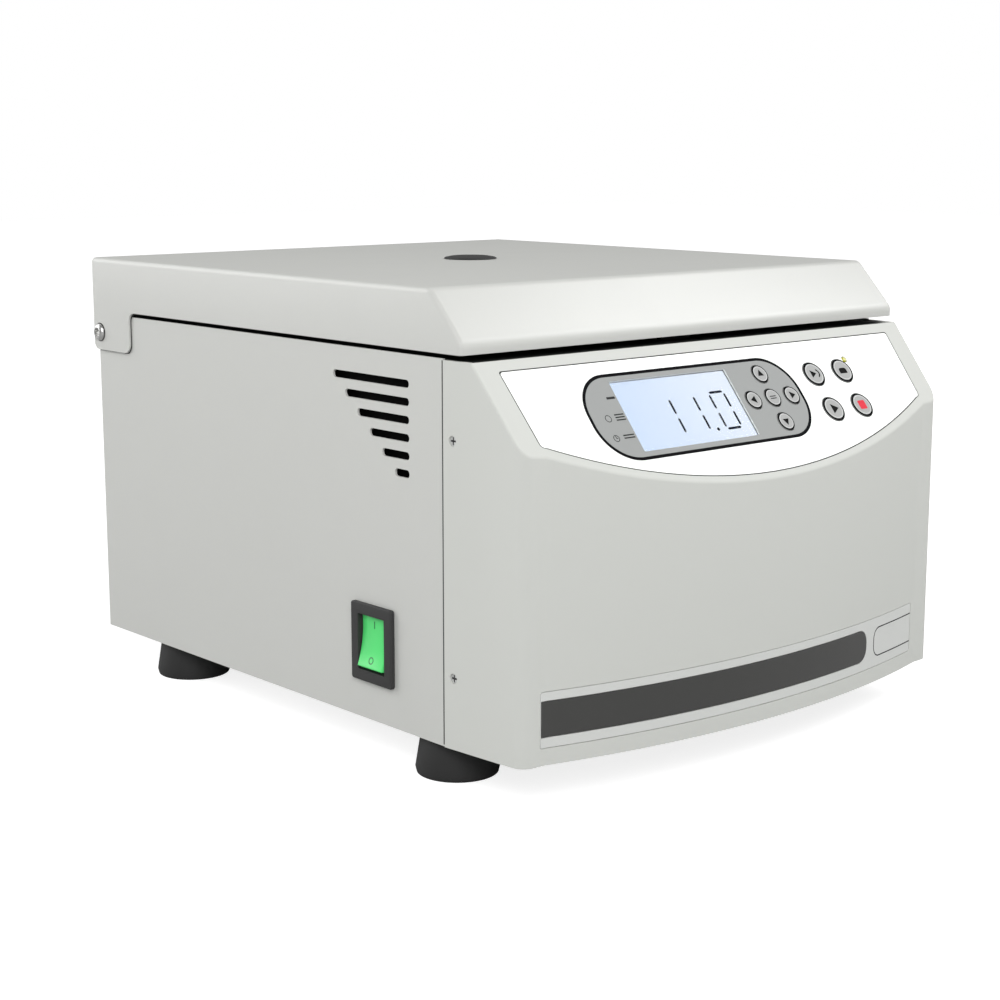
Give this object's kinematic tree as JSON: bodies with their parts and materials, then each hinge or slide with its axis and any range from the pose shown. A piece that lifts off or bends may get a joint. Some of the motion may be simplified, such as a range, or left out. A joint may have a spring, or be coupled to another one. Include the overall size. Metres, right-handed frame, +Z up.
{
  "type": "laboratory centrifuge",
  "caption": "Bench-top laboratory centrifuge with a hinged lid, sloping control panel with display and keys, angle rotor in a guarded chamber, side power switch and rubber feet.",
  "frame": {"origin": "on the surface that the centrifuge stands on, under the middle of its box", "axes": "+Z up, -Y towards the control panel, +X to the right of a person facing the control panel"},
  "size_m": [0.3252, 0.399, 0.2452],
  "materials": {
    "cabinet_paint": "satin light grey powder coat",
    "front_moulding": "satin moulded",
    "panel_film": "satin printed film",
    "display_glass": "backlit liquid-crystal display",
    "black_plastic": "fine moulded grain",
    "deck_plastic": "moulded",
    "key_grey": "satin",
    "strip_grey": "satin film",
    "label_film": "satin film",
    "rocker_green": "lit translucent",
    "led_amber": "lit lens",
    "foot_rubber": "matte",
    "seal_rubber": "matte",
    "stainless": "brushed",
    "zinc_steel": "zinc plated",
    "rotor_alloy": "dark anodised",
    "motor_black": "black paint",
    "board_green": "solder mask",
    "nylon": "natural"
  },
  "bodies": {
    "root": {"base_pan": "cabinet_paint", "cabinet_shell": "cabinet_paint", "chamber_bowl": "stainless", "chamber_gasket": "seal_rubber", "control_board": "board_green", "control_overlay": "panel_film", "display_lens": "display_glass", "display_module": "zinc_steel", "drive_board": "board_green", "fan_guard": "black_plastic", "fan_housing": "black_plastic", "fascia_screw_left_lower": "zinc_steel", "fascia_screw_left_upper": "zinc_steel", "fascia_screw_right_lower": "zinc_steel", "fascia_screw_right_upper": "zinc_steel", "foot_front_left": "foot_rubber", "foot_front_right": "foot_rubber", "foot_rear_left": "foot_rubber", "foot_rear_right": "foot_rubber", "front_fascia": "front_moulding", "front_label": "label_film", "front_strip": "strip_grey", "guard_ring": "zinc_steel", "hinge_bracket_left": "zinc_steel", "hinge_bracket_right": "zinc_steel", "hinge_screw_left": "stainless", "hinge_screw_right": "stainless", "lid_lock_housing": "black_plastic", "mains_inlet": "black_plastic", "motor_damper_1": "seal_rubber", "motor_damper_2": "seal_rubber", "motor_damper_3": "seal_rubber", "motor_housing": "motor_black", "motor_plate": "zinc_steel", "power_switch_frame": "black_plastic", "status_led": "led_amber", "top_deck": "deck_plastic"},
    "lid": {"lid_shell": "cabinet_paint", "lid_inner_pan": "deck_plastic", "lid_pressure_ring": "zinc_steel", "port_plug": "black_plastic", "lid_striker": "zinc_steel", "hinge_bush_left": "nylon", "hinge_bush_right": "nylon"},
    "rotor": {"motor_spindle": "stainless", "rotor_head": "rotor_alloy", "rotor_nut": "stainless"},
    "power_rocker": {"power_rocker": "rocker_green"},
    "lock_bolt": {"lock_bolt": "zinc_steel"},
    "fan_impeller": {"fan_impeller": "black_plastic"},
    "key_up": {"key_up": "key_grey"},
    "key_left": {"key_left": "key_grey"},
    "key_select": {"key_select": "key_grey"},
    "key_right": {"key_right": "key_grey"},
    "key_down": {"key_down": "key_grey"},
    "key_short_run": {"key_short_run": "key_grey"},
    "key_lid_release": {"key_lid_release": "key_grey"},
    "key_start": {"key_start": "key_grey"},
    "key_stop": {"key_stop": "key_grey"}
  },
  "joints": [
    {"name": "lid_hinge", "type": "hinge", "parent": "root", "child": "lid", "pos_m": [0, 0.1905, 0.1995], "axis": [-1, 0, 0], "range_deg": [0, 75]},
    {"name": "rotor_spin", "type": "hinge", "parent": "root", "child": "rotor", "pos_m": [0, 0.0405, 0.15], "axis": [0, 0, 1], "continuous": true},
    {"name": "power_rocker_tilt", "type": "hinge", "parent": "root", "child": "power_rocker", "pos_m": [-0.155, -0.0719, 0.0611], "axis": [0, -1, 0], "range_deg": [0, 16]},
    {"name": "lock_bolt_slide", "type": "slide", "parent": "root", "child": "lock_bolt", "axis": [0, -1, 0], "range_m": [0, 0.0095]},
    {"name": "fan_spin", "type": "hinge", "parent": "root", "child": "fan_impeller", "pos_m": [-0.075, 0.1875, 0.09], "axis": [0, 1, 0], "continuous": true},
    {"name": "key_up_press", "type": "slide", "parent": "root", "child": "key_up", "axis": [0, 0.7725, -0.635], "range_m": [0, 0.0008], "stiffness_N_per_m": 900},
    {"name": "key_left_press", "type": "slide", "parent": "root", "child": "key_left", "axis": [0, 0.7725, -0.635], "range_m": [0, 0.0008], "stiffness_N_per_m": 900},
    {"name": "key_select_press", "type": "slide", "parent": "root", "child": "key_select", "axis": [0, 0.7725, -0.635], "range_m": [0, 0.0008], "stiffness_N_per_m": 900},
    {"name": "key_right_press", "type": "slide", "parent": "root", "child": "key_right", "axis": [0, 0.7725, -0.635], "range_m": [0, 0.0008], "stiffness_N_per_m": 900},
    {"name": "key_down_press", "type": "slide", "parent": "root", "child": "key_down", "axis": [0, 0.7725, -0.635], "range_m": [0, 0.0008], "stiffness_N_per_m": 900},
    {"name": "key_short_run_press", "type": "slide", "parent": "root", "child": "key_short_run", "axis": [0, 0.7725, -0.635], "range_m": [0, 0.0008], "stiffness_N_per_m": 900},
    {"name": "key_lid_release_press", "type": "slide", "parent": "root", "child": "key_lid_release", "axis": [0, 0.7725, -0.635], "range_m": [0, 0.0008], "stiffness_N_per_m": 900},
    {"name": "key_start_press", "type": "slide", "parent": "root", "child": "key_start", "axis": [0, 0.7725, -0.635], "range_m": [0, 0.0008], "stiffness_N_per_m": 900},
    {"name": "key_stop_press", "type": "slide", "parent": "root", "child": "key_stop", "axis": [0, 0.7725, -0.635], "range_m": [0, 0.0008], "stiffness_N_per_m": 900}
  ]
}
